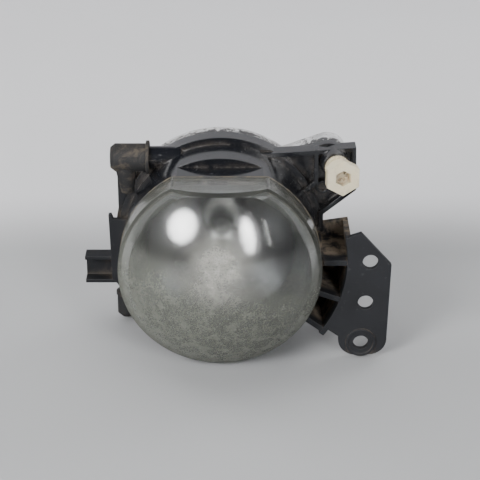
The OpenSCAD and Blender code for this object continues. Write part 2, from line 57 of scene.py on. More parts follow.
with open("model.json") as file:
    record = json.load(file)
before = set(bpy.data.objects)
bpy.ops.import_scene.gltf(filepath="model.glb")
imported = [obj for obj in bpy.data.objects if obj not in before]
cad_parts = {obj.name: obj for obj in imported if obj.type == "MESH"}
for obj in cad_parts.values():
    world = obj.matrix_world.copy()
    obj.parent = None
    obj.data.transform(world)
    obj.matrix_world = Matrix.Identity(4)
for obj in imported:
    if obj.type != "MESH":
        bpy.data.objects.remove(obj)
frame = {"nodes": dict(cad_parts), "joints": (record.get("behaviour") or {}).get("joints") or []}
NODES = frame["nodes"]
CAD_LOW, CAD_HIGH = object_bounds()
MM = 0.001
EDGE_SAMPLES = 6


# ---------------------------------------------------------------- settings


def colour(name, text, value):
    """A colour setting."""
    return FloatVectorProperty(
        name=name,
        description=text,
        default=value,
        size=3,
        min=0.0,
        max=1.0,
        subtype="COLOR",
    )


def length(name, text, value):
    """A length setting, in metres."""
    return FloatProperty(
        name=name, description=text, default=value, min=0.0, unit="LENGTH", precision=5
    )


def factor(name, text, value):
    """A setting between 0 and 1."""
    return FloatProperty(
        name=name, description=text, default=value, min=0.0, max=1.0, subtype="FACTOR"
    )


class FogFinishSettings(bpy.types.PropertyGroup):
    """Colours of the lamp and how dirty it is."""

    black: colour("Black moulding", "Colour of the black housing", (0.0085, 0.0095, 0.0125))
    dust: colour("Road dust", "Colour of dried road dust", (0.190, 0.150, 0.108))
    haze: colour("Lens haze", "Colour of the film of dirt on the glass", (0.128, 0.134, 0.112))
    silver: colour("Silver paint", "Colour of the paint on the rear housing", (0.93, 0.935, 0.945))
    nylon: colour("Nylon", "Colour of the aiming screw", (0.76, 0.70, 0.53))
    rubber: colour("Rubber", "Colour of the rubber pieces", (0.012, 0.012, 0.0125))
    dust_amount: factor("Dust", "How much dust lies on the lamp", 0.5)
    haze_amount: factor("Haze", "How dense the film on the glass is", 0.80)


class FogDetailSettings(bpy.types.PropertyGroup):
    """Sizes of the fine pieces."""

    film_gap: length("Film gap", "Height of the film of dirt over the glass", 0.00004)
    thread_pitch: length("Thread pitch", "Pitch of the aiming screw", 0.003)
    thread_depth: length("Thread depth", "Height of the thread over its core", 0.0006)
    coil_radius: length("Coil radius", "Radius of the filament's coil", 0.0007)
    wire_radius: length("Wire radius", "Radius of the filament's wire", 0.00011)
    boot_radius: length("Boot radius", "Radius of the rim of the vent boot", 0.0077)
    grip_ribs: IntProperty(
        name="Grip ribs", description="Ribs on each side of the plug socket", default=6, min=0
    )


class FogStageSettings(bpy.types.PropertyGroup):
    """Floor, backdrop, lights and camera."""

    floor: colour("Floor", "Colour of the paper under the lamp", (0.425, 0.43, 0.438))
    backdrop: colour("Backdrop", "Colour of the paper behind the lamp", (0.80, 0.80, 0.82))
    sweep_start: length("Sweep start", "Distance of the backdrop's curve behind the lamp", 0.95)
    sweep_radius: length("Sweep radius", "Radius of the backdrop's curve", 0.40)
    focal_length: FloatProperty(
        name="Lens", description="Focal length of the camera", default=110.8, unit="CAMERA"
    )
    tilt: FloatProperty(
        name="Camera tilt",
        description="How far the camera looks down",
        default=math.radians(24.0),
        subtype="ANGLE",
    )


# ---------------------------------------------------------------- node trees


def put(tree, socket, value):
    """Links an input to an output socket, or sets it to a value."""
    if isinstance(value, bpy.types.NodeSocket):
        tree.links.new(value, socket)
    else:
        socket.default_value = value


def add(tree, kind, inputs=None, **properties):
    """Adds a node, sets its properties, and sets or links its inputs."""
    made = tree.nodes.new(kind)
    for key, value in properties.items():
        setattr(made, key, value)
    for key, value in (inputs or {}).items():
        put(tree, made.inputs[key], value)
    return made


def maths(tree, operation, a, b=0.0, clamp=False):
    """One math node. Returns its output."""
    made = add(tree, "ShaderNodeMath", {0: a, 1: b}, operation=operation, use_clamp=clamp)
    return made.outputs[0]


def plus(tree, a, b, clamp=False):
    """Sum of two numbers."""
    return maths(tree, "ADD", a, b, clamp)


def minus(tree, a, b, clamp=False):
    """First number less the second."""
    return maths(tree, "SUBTRACT", a, b, clamp)


def times(tree, a, b, clamp=False):
    """Product of two numbers."""
    return maths(tree, "MULTIPLY", a, b, clamp)


def larger(tree, a, b):
    """The larger of two numbers."""
    return maths(tree, "MAXIMUM", a, b)


def diagonal(tree, a, b):
    """Length of the diagonal of a and b."""
    squares = plus(tree, maths(tree, "POWER", a, 2.0), maths(tree, "POWER", b, 2.0))
    return maths(tree, "SQRT", squares)


def ramp(tree, value, low, high):
    """Smooth step of a value, 0 at low and 1 at high. Returns its output."""
    made = add(
        tree,
        "ShaderNodeMapRange",
        {"Value": value, "From Min": low, "From Max": high},
        interpolation_type="SMOOTHSTEP",
    )
    return made.outputs["Result"]


def blend(tree, amount, a, b):
    """Mix of two colours. Returns its output."""
    made = add(tree, "ShaderNodeMix", data_type="RGBA")
    for index, value in ((0, amount), (6, a), (7, b)):
        put(tree, made.inputs[index], value)
    return made.outputs[2]


def fade(tree, amount, a, b):
    """Mix of two numbers. Returns its output."""
    made = add(tree, "ShaderNodeMix", data_type="FLOAT")
    for index, value in ((0, amount), (2, a), (3, b)):
        put(tree, made.inputs[index], value)
    return made.outputs[0]


def axes(tree, where):
    """The X, Y and Z outputs of a vector."""
    return add(tree, "ShaderNodeSeparateXYZ", {0: where}).outputs


def noise_at(tree, where, scale, detail=4.0, rough=0.55, distortion=0.0):
    """Noise in the lamp's own space, in features per metre. Returns its output."""
    made = add(
        tree,
        "ShaderNodeTexNoise",
        {
            "Vector": where,
            "Scale": scale,
            "Detail": detail,
            "Roughness": rough,
            "Distortion": distortion,
        },
    )
    return made.outputs[0]


def rgba(value, gain=1.0):
    """A colour as four numbers, its first three multiplied by a gain."""
    return (value[0] * gain, value[1] * gain, value[2] * gain, 1.0)


def new_group(name, inputs, outputs):
    """A shader node group of numbers. Returns its tree, its input node and its output node."""
    tree = bpy.data.node_groups.new(name, "ShaderNodeTree")
    for label, value in inputs:
        socket = tree.interface.new_socket(label, in_out="INPUT", socket_type="NodeSocketFloat")
        socket.default_value = value
    for label in outputs:
        tree.interface.new_socket(label, in_out="OUTPUT", socket_type="NodeSocketFloat")
    return tree, tree.nodes.new("NodeGroupInput"), tree.nodes.new("NodeGroupOutput")


def dust_group():
    """Dust that settles on faces that look up, in patches."""
    tree, given, out = new_group(
        "settled_dust",
        [("Amount", 0.5), ("Patch scale", 60.0), ("Upward", 0.5), ("Grain scale", 1800.0)],
        ["Mask"],
    )
    where = tree.nodes.new("ShaderNodeTexCoord").outputs["Object"]
    normal = tree.nodes.new("ShaderNodeNewGeometry").outputs["Normal"]
    up = ramp(tree, axes(tree, normal)["Z"], -0.2, 0.9)
    patches = noise_at(tree, where, given.outputs["Patch scale"], 6.0, 0.62, 0.4)
    grain = noise_at(tree, where, given.outputs["Grain scale"], 2.0, 0.6)
    weight = fade(tree, given.outputs["Upward"], 1.0, up)
    level = plus(tree, given.outputs["Amount"], minus(tree, patches, 0.5))
    level = times(tree, level, weight)
    rough = plus(tree, level, times(tree, minus(tree, grain, 0.5), 0.55))
    tree.links.new(ramp(tree, rough, 0.12, 0.85), out.inputs["Mask"])
    return tree


def scuff_group():
    """Fine scratches in two directions and shallow dents."""
    tree, given, out = new_group(
        "fine_scuffs", [("Scale", 300.0), ("Amount", 0.5)], ["Mask", "Height"]
    )
    where = tree.nodes.new("ShaderNodeTexCoord").outputs["Object"]
    lines = []
    for stretch, turn in (((1.0, 12.0, 1.0), 0.5), ((1.0, 1.0, 14.0), -0.8)):
        mapped = add(
            tree,
            "ShaderNodeMapping",
            {"Vector": where, "Rotation": (turn, turn * 0.7, turn), "Scale": stretch},
        )
        streak = noise_at(tree, mapped.outputs[0], given.outputs["Scale"], 3.0, 0.7)
        lines.append(ramp(tree, streak, 0.63, 0.74))
    both = larger(tree, lines[0], lines[1])
    mask = times(tree, both, given.outputs["Amount"], clamp=True)
    dents = noise_at(tree, where, times(tree, given.outputs["Scale"], 0.25), 3.0)
    tree.links.new(mask, out.inputs["Mask"])
    tree.links.new(minus(tree, times(tree, dents, 0.5), mask), out.inputs["Height"])
    return tree


def grain_group():
    """Fine moulded or cast grain."""
    tree, given, out = new_group(
        "moulded_grain", [("Scale", 2500.0), ("Contrast", 0.5)], ["Height", "Tone"]
    )
    where = tree.nodes.new("ShaderNodeTexCoord").outputs["Object"]
    fine = noise_at(tree, where, given.outputs["Scale"], 3.0, 0.6)
    broad = noise_at(tree, where, times(tree, given.outputs["Scale"], 0.03), 4.0, 0.6)
    tree.links.new(fine, out.inputs["Height"])
    swing = times(tree, minus(tree, broad, 0.5), given.outputs["Contrast"])
    tone = plus(tree, swing, 0.5)
    tree.links.new(tone, out.inputs["Tone"])
    return tree


def wear_group():
    """Outer edges, where finishes rub off, and inner corners, where dirt gathers."""
    tree, given, out = new_group(
        "edge_wear", [("Radius", 0.0005), ("Reach", 0.005)], ["Edge", "Corner"]
    )
    flat = tree.nodes.new("ShaderNodeNewGeometry").outputs["Normal"]
    radius = given.outputs["Radius"]
    rounded = add(tree, "ShaderNodeBevel", {"Radius": radius}, samples=EDGE_SAMPLES)
    turned = add(
        tree, "ShaderNodeVectorMath", {0: flat, 1: rounded.outputs[0]}, operation="DOT_PRODUCT"
    )
    reach = given.outputs["Reach"]
    open_sky = add(
        tree, "ShaderNodeAmbientOcclusion", {"Distance": reach}, samples=EDGE_SAMPLES
    )
    shut = minus(tree, 1.0, open_sky.outputs["AO"])
    bend = minus(tree, 1.0, turned.outputs["Value"])
    free = ramp(tree, shut, 0.45, 0.15)
    tree.links.new(times(tree, ramp(tree, bend, 0.01, 0.12), free), out.inputs["Edge"])
    tree.links.new(ramp(tree, shut, 0.25, 0.75), out.inputs["Corner"])
    return tree


GROUPS = {}


def group(tree, name, **inputs):
    """Places one of the shared groups, built once, and sets its inputs."""
    builders = {
        "settled_dust": dust_group,
        "fine_scuffs": scuff_group,
        "moulded_grain": grain_group,
        "edge_wear": wear_group,
    }
    if name not in GROUPS:
        GROUPS[name] = builders[name]()
    placed = add(tree, "ShaderNodeGroup", node_tree=GROUPS[name])
    for key, value in inputs.items():
        placed.inputs[key.replace("_", " ")].default_value = value
    return placed


def new_material(name):
    """A material with a bare shader. Returns it, its tree, its shader and the lamp's own space."""
    material = bpy.data.materials.new(name)
    material.use_nodes = True
    tree = material.node_tree
    tree.nodes.clear()
    shader = tree.nodes.new("ShaderNodeBsdfPrincipled")
    out = tree.nodes.new("ShaderNodeOutputMaterial")
    tree.links.new(shader.outputs[0], out.inputs["Surface"])
    where = tree.nodes.new("ShaderNodeTexCoord").outputs["Object"]
    return material, tree, shader, where


def feed(tree, shader, **sockets):
    """Links or sets the shader's inputs."""
    for key, value in sockets.items():
        put(tree, shader.inputs[key.replace("_", " ")], value)


def bump(tree, shader, height, distance, strength, edge=0.0):
    """A bump of a depth in metres on the shader. edge rounds sharp edges by that radius."""
    made = add(
        tree,
        "ShaderNodeBump",
        {"Height": height, "Distance": distance, "Strength": strength},
    )
    if edge:
        rounded = add(tree, "ShaderNodeBevel", {"Radius": edge}, samples=EDGE_SAMPLES)
        tree.links.new(rounded.outputs[0], made.inputs["Normal"])
    tree.links.new(made.outputs[0], shader.inputs["Normal"])


# ---------------------------------------------------------------- materials

# Colours that have no setting of their own.
RUBBED_BLACK = (0.030, 0.031, 0.034, 1)
PRESSED_GLASS = (0.955, 0.965, 0.955, 1)
BOWL_GLOW = (0.76, 0.74, 0.67, 1)
PAINT_STAIN = (0.22, 0.19, 0.155, 1)
BARE_MOULDING = (0.018, 0.018, 0.02, 1)
# Dark grey of the painted shade on the reflector bowl's upper part and sides.
BOWL_SHADE = (0.06, 0.062, 0.07, 1)
SOCKET_DIRT = (0.25, 0.155, 0.065, 1)
GLUE_DEEP = (0.10, 0.072, 0.035, 1)
GLUE_PALE = (0.24, 0.18, 0.10, 1)
GLUE_GRIME = (0.035, 0.033, 0.03, 1)
QUARTZ = (0.97, 0.975, 0.98, 1)
HOLDER_DEEP = (0.022, 0.023, 0.026, 1)
HOLDER_PALE = (0.05, 0.052, 0.056, 1)
HOLDER_DUST = (0.20, 0.17, 0.13, 1)
PAPER_SHADE = (0.94, 0.94, 0.94, 1)
PAPER_WHITE = (1.0, 1.0, 1.0, 1)

GLASS_IOR = 1.5
QUARTZ_IOR = 1.46

# Where the floor's tone turns into the backdrop's, in metres behind the lamp.
FLOOR_END, BACKDROP_START = 0.12, 0.215


def black_moulding(name, gloss, sheen, dust_level, caked, pocket=None):
    """Black moulded plastic with dust, more in corners and further back than pocket, in metres."""
    look = bpy.context.scene.fog_finish
    material, tree, shader, where = new_material(name)
    grain = group(tree, "moulded_grain", Scale=2600.0, Contrast=0.9)
    scuffs = group(tree, "fine_scuffs", Scale=240.0, Amount=0.7)
    wear = group(tree, "edge_wear", Radius=0.0004, Reach=0.006)
    amount = dust_level * look.dust_amount * 2.0
    dust = group(
        tree, "settled_dust", Amount=amount, Patch_scale=70.0, Upward=0.5, Grain_scale=2200.0
    )
    cloudy = ramp(tree, noise_at(tree, where, 170.0, 6.0, 0.68), 0.36, 0.62)
    corners = times(tree, times(tree, wear.outputs["Corner"], cloudy), caked)
    mask = larger(tree, dust.outputs["Mask"], corners)
    if pocket is not None:
        inside = ramp(tree, axes(tree, where)["Y"], pocket, pocket + 6 * MM)
        mask = larger(tree, mask, times(tree, inside, times(tree, cloudy, 0.85)))
    base = blend(tree, grain.outputs["Tone"], rgba(look.black, 0.5), rgba(look.black, 1.3))
    rubbed = larger(tree, scuffs.outputs["Mask"], times(tree, wear.outputs["Edge"], 0.5))
    base = blend(tree, rubbed, base, RUBBED_BLACK)
    feed(tree, shader, Base_Color=blend(tree, mask, base, rgba(look.dust)))
    smooth = fade(tree, grain.outputs["Tone"], gloss * 0.8, gloss * 1.3)
    scuffed = fade(tree, rubbed, smooth, 0.5)
    feed(tree, shader, Roughness=fade(tree, mask, scuffed, 0.9), Specular_IOR_Level=sheen)
    height = fade(tree, mask, scuffs.outputs["Height"], grain.outputs["Height"])
    bump(tree, shader, height, 0.05 * MM, 0.35, edge=0.5 * MM)
    return material


def lens_glass():
    """Clear pressed glass, blasted by grit and dull with fine dirt."""
    material, tree, shader, where = new_material("lens_glass")
    pits = ramp(tree, noise_at(tree, where, 1500.0, 3.0, 0.7), 0.52, 0.68)
    low = ramp(tree, axes(tree, where)["Z"], 0.04, -0.02)
    feed(tree, shader, Base_Color=PRESSED_GLASS, IOR=GLASS_IOR, Transmission_Weight=1.0)
    feed(tree, shader, Roughness=fade(tree, times(tree, pits, low), 0.13, 0.28))
    bump(tree, shader, noise_at(tree, where, 120.0, 2.0), 0.04 * MM, 0.25)
    return material


def film_cover(tree, where, x, z):
    """How much of the glass the film hides, with its low, cloudy, speckled and glowing shares."""
    wander = times(tree, minus(tree, noise_at(tree, where, 55.0, 4.0, 0.6), 0.5), 0.035)
    height = plus(tree, plus(tree, z, wander), times(tree, x, 0.22))
    low = ramp(tree, height, 0.024, -0.014)
    clouds = ramp(tree, noise_at(tree, where, 210.0, 6.0, 0.7, 0.3), 0.36, 0.66)
    specks = ramp(tree, noise_at(tree, where, 1500.0, 3.0, 0.75), 0.48, 0.68)
    motes = ramp(tree, noise_at(tree, where, 620.0, 2.0, 0.5), 0.64, 0.70)
    body = times(tree, low, fade(tree, clouds, 0.72, 0.98))
    grit = times(tree, fade(tree, low, 0.13, 0.25), specks)
    cover = plus(tree, plus(tree, body, grit), times(tree, motes, 0.16), clamp=True)
    reach = diagonal(tree, x, minus(tree, z, 0.011))
    glow = times(tree, ramp(tree, reach, 0.023, 0.003), fade(tree, clouds, 0.60, 0.74))
    out = diagonal(tree, x, z)
    border = times(tree, ramp(tree, out, 0.037, 0.0425), fade(tree, low, 0.35, 0.9))
    cover = larger(tree, larger(tree, cover, border), glow)
    return cover, clouds, specks, glow


def lens_film():
    """Film of dust and pits over the glass: thin on top, dense and speckled below.

    A pale spot in its middle stands for the light that the bowl throws back, and its paler left
    side is painted light.
    """
    look = bpy.context.scene.fog_finish
    material, tree, shader, where = new_material("lens_film")
    place = axes(tree, where)
    cover, clouds, specks, glow = film_cover(tree, where, place["X"], place["Z"])
    grey = blend(tree, clouds, rgba(look.haze, 0.66), rgba(look.haze))
    # Painted light: the film's colour is paler towards its left side.
    side = ramp(tree, place["X"], 0.02, -0.042)
    grey = blend(tree, times(tree, side, 0.4), grey, rgba(look.haze, 1.4))
    grey = blend(tree, glow, grey, BOWL_GLOW)
    tint = blend(tree, times(tree, specks, 0.7), grey, rgba(look.haze, 1.6))
    cover = times(tree, cover, look.haze_amount)
    feed(tree, shader, Base_Color=tint, Roughness=0.8, Alpha=cover, Specular_IOR_Level=0.3)
    return material


def flaking_silver():
    """Silver paint that has flaked off the black moulding under it, most of all at its edges."""
    look = bpy.context.scene.fog_finish
    material, tree, shader, where = new_material("flaking_silver")
    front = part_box("rear_housing")[0].y
    near = ramp(tree, axes(tree, where)["Y"], front + 6.5 * MM, front + 1 * MM)
    wear = group(tree, "edge_wear", Radius=0.0009, Reach=0.005)
    chips = noise_at(tree, where, 360.0, 7.0, 0.72, 0.5)
    small = noise_at(tree, where, 1200.0, 4.0, 0.7)
    push = larger(tree, times(tree, near, 0.12), times(tree, wear.outputs["Edge"], 0.30))
    region = noise_at(tree, where, 45.0, 3.0, 0.5)
    patchy = times(tree, minus(tree, region, 0.53), 0.45)
    level = plus(tree, plus(tree, chips, push), patchy)
    fine = plus(tree, small, times(tree, patchy, 0.7))
    bare = larger(tree, ramp(tree, level, 0.585, 0.60), ramp(tree, fine, 0.665, 0.69))
    stain = ramp(tree, level, 0.53, 0.60)
    tarnish = noise_at(tree, where, 90.0, 5.0, 0.6)
    shade = ramp(tree, tarnish, 0.35, 0.65)
    paint = blend(tree, shade, rgba(look.silver, 0.55), rgba(look.silver))
    paint = blend(tree, times(tree, stain, 0.55), paint, PAINT_STAIN)
    dust = group(
        tree, "settled_dust", Amount=0.16, Patch_scale=55.0, Upward=0.4, Grain_scale=1700.0
    )
    dirt = larger(tree, dust.outputs["Mask"], times(tree, wear.outputs["Corner"], 0.55))
    base = blend(tree, bare, paint, BARE_MOULDING)
    feed(tree, shader, Base_Color=blend(tree, dirt, base, rgba(look.dust)))
    feed(tree, shader, Metallic=minus(tree, 0.6, larger(tree, bare, dirt), clamp=True))
    feed(tree, shader, Roughness=fade(tree, dirt, fade(tree, tarnish, 0.24, 0.46), 0.9))
    bump(tree, shader, minus(tree, 1.0, bare), 0.12 * MM, 0.8, edge=0.9 * MM)
    return material


def metallised(name, base, rough, spots, top_shade=0.0):
    """Metallised plastic with a faint ripple and water spots. Its last argument sets painted shade
    that darkens its upper part and sides.
    """
    material, tree, shader, where = new_material(name)
    ripple = noise_at(tree, where, 60.0, 2.0, 0.5)
    marks = ramp(tree, noise_at(tree, where, 420.0, 4.0, 0.65), 0.60, 0.72)
    marks = times(tree, marks, spots)
    dull = (base[0] * 0.65, base[1] * 0.62, base[2] * 0.54, 1)
    look = blend(tree, marks, rgba(base), dull)
    # Painted shade: darkens the bowl's upper part and sides, leaving its lower middle bright.
    if top_shade:
        place = axes(tree, where)
        side = times(tree, maths(tree, "ABSOLUTE", place["X"]), 0.3)
        shaded_top = ramp(tree, plus(tree, place["Z"], side), -0.020, -0.004)
        look = blend(tree, times(tree, shaded_top, top_shade), look, BOWL_SHADE)
    feed(tree, shader, Base_Color=look)
    feed(tree, shader, Metallic=1.0, Roughness=fade(tree, marks, rough, rough + 0.3))
    bump(tree, shader, ripple, 0.25 * MM, 0.25)
    return material


def nylon():
    """Natural nylon, waxy and slightly yellowed, dirty inside its socket."""
    look = bpy.context.scene.fog_finish
    material, tree, shader, where = new_material("natural_nylon")
    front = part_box("adjuster_screw")[0].y
    grain = group(tree, "moulded_grain", Scale=1900.0, Contrast=1.0)
    wear = group(tree, "edge_wear", Radius=0.0004, Reach=0.0045)
    warm = (look.nylon[0] * 0.90, look.nylon[1] * 0.84, look.nylon[2] * 0.72, 1)
    base = blend(tree, grain.outputs["Tone"], warm, rgba(look.nylon))
    patches = ramp(tree, noise_at(tree, where, 330.0, 5.0, 0.65), 0.50, 0.68)
    back = ramp(tree, axes(tree, where)["Y"], front + 5 * MM, front + 16 * MM)
    stain = times(tree, patches, fade(tree, back, 0.15, 0.8))
    stain = larger(tree, stain, times(tree, wear.outputs["Corner"], 0.95))
    feed(tree, shader, Base_Color=blend(tree, stain, base, SOCKET_DIRT))
    feed(tree, shader, Roughness=fade(tree, grain.outputs["Tone"], 0.34, 0.48))
    feed(tree, shader, Subsurface_Weight=0.25, Subsurface_Scale=1.2 * MM)
    feed(tree, shader, Subsurface_Radius=(1.0, 0.8, 0.55))
    bump(tree, shader, grain.outputs["Height"], 0.04 * MM, 0.35, edge=0.5 * MM)
    return material


def dusty_rubber(name, dust_level, tint=(1.0, 1.0, 1.0)):
    """Matt rubber with dust rubbed into it."""
    look = bpy.context.scene.fog_finish
    material, tree, shader, where = new_material(name)
    grain = group(tree, "moulded_grain", Scale=2100.0, Contrast=1.0)
    wear = group(tree, "edge_wear", Radius=0.0006, Reach=0.005)
    dust = group(
        tree, "settled_dust", Amount=0.3, Patch_scale=110.0, Upward=0.6, Grain_scale=1500.0
    )
    tinted = [v * t for v, t in zip(look.rubber, tint)]
    body = blend(tree, grain.outputs["Tone"], rgba(tinted), rgba(tinted, 2.0))
    blotches = ramp(tree, noise_at(tree, where, 130.0, 6.0, 0.66, 0.5), 0.47, 0.66)
    settled = times(tree, larger(tree, dust.outputs["Mask"], blotches), dust_level)
    thin = larger(tree, settled, times(tree, wear.outputs["Edge"], dust_level * 0.6))
    feed(tree, shader, Base_Color=blend(tree, thin, body, rgba(look.dust)))
    feed(tree, shader, Roughness=fade(tree, thin, 0.74, 0.96), Specular_IOR_Level=0.1)
    bump(tree, shader, grain.outputs["Height"], 0.08 * MM, 0.45, edge=0.7 * MM)
    return material


def sealant():
    """Golden glue bead, dusty on the outside."""
    material, tree, shader, where = new_material("sealant")
    lumps = noise_at(tree, where, 420.0, 4.0, 0.6)
    grime = ramp(tree, noise_at(tree, where, 170.0, 5.0, 0.6), 0.36, 0.6)
    base = blend(tree, lumps, GLUE_DEEP, GLUE_PALE)
    feed(tree, shader, Base_Color=blend(tree, grime, base, GLUE_GRIME))
    feed(tree, shader, Roughness=fade(tree, grime, 0.45, 0.85))
    bump(tree, shader, lumps, 0.1 * MM, 0.6)
    return material


def plated_steel(name, base, rough):
    """Plated metal with drawn lines and a light bloom."""
    material, tree, shader, where = new_material(name)
    scuffs = group(tree, "fine_scuffs", Scale=500.0, Amount=0.8)
    bloom = ramp(tree, noise_at(tree, where, 380.0, 5.0, 0.6), 0.45, 0.7)
    feed(tree, shader, Base_Color=blend(tree, bloom, rgba(base), rgba(base, 0.7)), Metallic=1.0)
    worn = larger(tree, bloom, scuffs.outputs["Mask"])
    feed(tree, shader, Roughness=fade(tree, worn, rough, rough + 0.22))
    bump(tree, shader, scuffs.outputs["Height"], 0.03 * MM, 0.5)
    return material


def bulb_clear():
    """Thin clear quartz."""
    material, tree, shader, where = new_material("bulb_clear")
    streaks = noise_at(tree, where, 300.0, 2.0)
    feed(tree, shader, Base_Color=QUARTZ, IOR=QUARTZ_IOR, Transmission_Weight=1.0)
    feed(tree, shader, Roughness=fade(tree, streaks, 0.0, 0.02))
    return material


def bulb_plastic():
    """Heat-proof grey moulding of the bulb's holder."""
    material, tree, shader, where = new_material("bulb_holder")
    grain = group(tree, "moulded_grain", Scale=1700.0, Contrast=1.0)
    dust = group(
        tree, "settled_dust", Amount=0.25, Patch_scale=80.0, Upward=0.5, Grain_scale=1900.0
    )
    base = blend(tree, grain.outputs["Tone"], HOLDER_DEEP, HOLDER_PALE)
    feed(tree, shader, Base_Color=blend(tree, dust.outputs["Mask"], base, HOLDER_DUST))
    feed(tree, shader, Roughness=fade(tree, dust.outputs["Mask"], 0.42, 0.85))
    bump(tree, shader, grain.outputs["Height"], 0.06 * MM, 0.5)
    return material


def backdrop_paper():
    """Matt studio paper, darker under the lamp than behind it: the floor part's darker colour is
    painted shade.
    """
    look = bpy.context.scene.fog_stage
    material, tree, shader, where = new_material("backdrop_paper")
    # Painted shade: the floor part of the sheet gets a darker colour than its backdrop part.
    behind = ramp(tree, axes(tree, where)["Y"], FLOOR_END, BACKDROP_START)
    base = blend(tree, behind, rgba(look.floor), rgba(look.backdrop))
    tone = noise_at(tree, where, 6.0, 3.0, 0.5)
    mixed = add(tree, "ShaderNodeMix", data_type="RGBA", blend_type="MULTIPLY")
    shade = blend(tree, tone, PAPER_SHADE, PAPER_WHITE)
    for index, value in ((0, 1.0), (6, base), (7, shade)):
        put(tree, mixed.inputs[index], value)
    feed(tree, shader, Base_Color=mixed.outputs[2], Roughness=0.85, Specular_IOR_Level=0.2)
    bump(tree, shader, noise_at(tree, where, 900.0, 3.0), 0.1 * MM, 0.12)
    return material


MADE = {}


def material(name):
    """One of the lamp's materials, built once."""
    recipes = {
        "gloss_black": lambda: black_moulding("gloss_black", 0.13, 0.45, 0.07, 0.32),
        "bracket_black": lambda: black_moulding(
            "bracket_black", 0.6, 0.12, 0.02, 0.8, pocket=13.5 * MM
        ),
        "tab_black": lambda: black_moulding("tab_black", 0.55, 0.15, 0.06, 0.5),
        "duct_black": lambda: black_moulding("duct_black", 0.65, 0.12, 0.10, 0.4),
        "lens_glass": lens_glass,
        "lens_film": lens_film,
        "sealant": sealant,
        "flaking_silver": flaking_silver,
        "mirror_bowl": lambda: metallised(
            "mirror_bowl", (0.74, 0.75, 0.74), 0.24, 0.6, top_shade=0.95
        ),
        "satin_bezel": lambda: metallised("satin_bezel", (0.16, 0.165, 0.17), 0.3, 0.5),
        "natural_nylon": nylon,
        "dusty_rubber": lambda: dusty_rubber("dusty_rubber", 0.34),
        "plain_rubber": lambda: dusty_rubber("plain_rubber", 0.10),
        "red_rubber": lambda: dusty_rubber("red_rubber", 0.05, (38.0, 10.0, 3.0)),
        "slit_black": lambda: black_moulding("slit_black", 0.7, 0.1, 0.0, 0.2),
        "plated_steel": lambda: plated_steel("plated_steel", (0.62, 0.62, 0.60), 0.28),
        "tungsten": lambda: plated_steel("tungsten", (0.30, 0.30, 0.31), 0.4),
        "tinned_brass": lambda: plated_steel("tinned_brass", (0.72, 0.60, 0.34), 0.25),
        "bulb_clear": bulb_clear,
        "bulb_holder": bulb_plastic,
        "backdrop_paper": backdrop_paper,
    }
    if name not in MADE:
        MADE[name] = recipes[name]()
    return MADE[name]


def dress(node, name):
    """Gives a CAD node its material."""
    mesh = NODES[node].data
    mesh.materials.clear()
    mesh.materials.append(material(name))


# ---------------------------------------------------------------- mesh tools


def link(name, data):
    """Puts an object with the given data in the scene."""
    made = bpy.data.objects.new(name, data)
    bpy.context.scene.collection.objects.link(made)
    return made


def new_object(name, bm, finish):
    """Makes a smooth object of a bmesh, with a material."""
    mesh = bpy.data.meshes.new(name)
    bm.to_mesh(mesh)
    bm.free()
    for face in mesh.polygons:
        face.use_smooth = True
    mesh.materials.append(material(finish))
    return link(name, mesh)


def new_piece(name, bm, finish, body):
    """Makes a piece of a bmesh, with a material, and lets it ride on a body."""
    bmesh.ops.recalc_face_normals(bm, faces=bm.faces)
    piece = new_object(name, bm, finish)
    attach(piece, body)
    return piece


def skin(bm, rings):
    """Joins rings of vertices with quads."""
    for one, two in zip(rings, rings[1:]):
        count = len(one)
        for i in range(count):
            j = (i + 1) % count
            bm.faces.new((one[i], one[j], two[j], two[i]))


def tube(bm, path, radius, sides):
    """Closed tube of a radius, or one radius for each point, along a path."""
    rings = []
    side = None
    for i, point in enumerate(path):
        ahead = (path[min(i + 1, len(path) - 1)] - path[max(i - 1, 0)]).normalized()
        if side is None:
            side = ahead.orthogonal().normalized()
        side = (side - ahead * side.dot(ahead)).normalized()
        other = ahead.cross(side)
        r = radius[i] if isinstance(radius, (list, tuple)) else radius
        turns = [2 * math.pi * k / sides for k in range(sides)]
        around = [side * math.cos(turn) + other * math.sin(turn) for turn in turns]
        rings.append([bm.verts.new(point + out * r) for out in around])
    skin(bm, rings)
    bm.faces.new(list(reversed(rings[0])))
    bm.faces.new(rings[-1])


def block(bm, low, high, round_off):
    """Box between two corners, with rounded edges."""
    size = Vector(high) - Vector(low)
    centre = (Vector(high) + Vector(low)) / 2
    place = Matrix.Translation(centre) @ Matrix.Diagonal((*size, 1.0))
    made = bmesh.ops.create_cube(bm, size=1.0, matrix=place)
    edges = list({e for v in made["verts"] for e in v.link_edges})
    bmesh.ops.bevel(bm, geom=edges, offset=round_off, segments=2, affect="EDGES", profile=0.7)


# ---------------------------------------------------------------- places taken from the frame

SCREW = next(j for j in frame["joints"] if j["name"] == "aiming_screw_turn")
SCREW_FRONT = Vector(SCREW["pos_m"])
SCREW_BACK = -Vector(SCREW["axis"]).normalized()
SCREW_SIDE = SCREW_BACK.cross(Vector((0, 0, 1))).normalized()
SCREW_UP = SCREW_SIDE.cross(SCREW_BACK).normalized()


def on_screw(along, angle, radius):
    """Point along the aiming screw, at an angle round its axis and a distance from it."""
    across = SCREW_SIDE * math.cos(angle) + SCREW_UP * math.sin(angle)
    return SCREW_FRONT + SCREW_BACK * along + across * radius


LENS_CHAMFER = 1.5 * MM


def lens_dome():
    """Centre, radius, edge radius and height of the flat of the lens's dome."""
    low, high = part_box("lens")
    edge = high.x - LENS_CHAMFER
    rise = -LENS_CHAMFER - low.y
    radius = (edge * edge + rise * rise) / (2 * rise)
    return Vector((0, low.y + radius, 0)), radius, edge, high.z


# ---------------------------------------------------------------- operators


